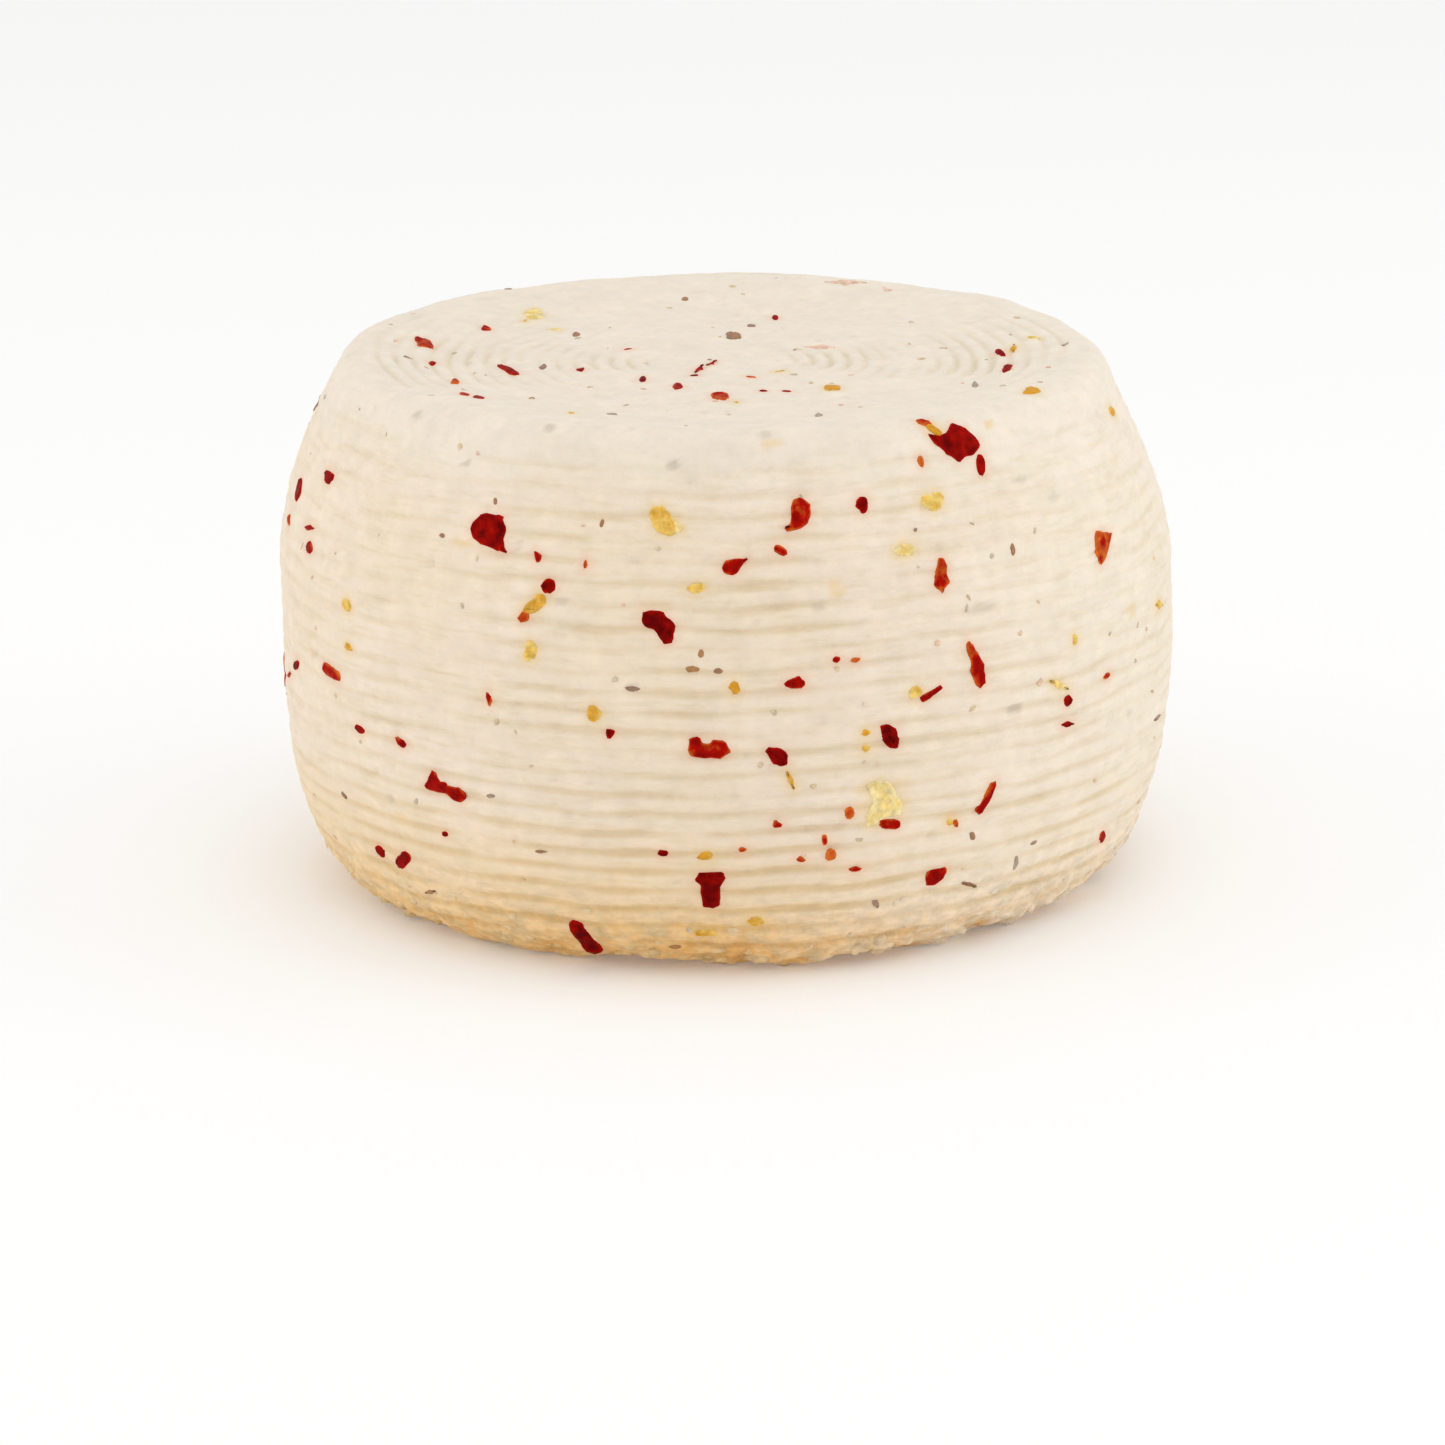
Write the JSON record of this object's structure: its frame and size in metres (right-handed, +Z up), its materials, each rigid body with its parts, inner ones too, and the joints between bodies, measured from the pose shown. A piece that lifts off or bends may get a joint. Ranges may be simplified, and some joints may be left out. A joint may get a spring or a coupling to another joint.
{
  "type": "chili fresh pecorino",
  "caption": "Whole small wheel of fresh pecorino: barrel-sided, ribbed by its basket, ringed on top, dotted with red and yellow chilli flakes.",
  "frame": {"origin": "centre of the flat face that the wheel rests on", "axes": "+Z up along the wheel's axis, -Y towards the side shown in the picture, +X to the right"},
  "size_m": [0.1452, 0.1454, 0.0867],
  "materials": {
    "pecorino_paste": "soft, moist, ivory cheese paste with a dull natural rind",
    "red_chilli": "dark red chilli skin, slightly glossy where it is wet",
    "yellow_chilli": "golden chilli flesh and seeds, partly buried in the paste",
    "dark_speck": "small brown and grey specks of dried skin"
  },
  "bodies": {
    "root": {"cheese_wheel": "pecorino_paste"}
  },
  "joints": []
}
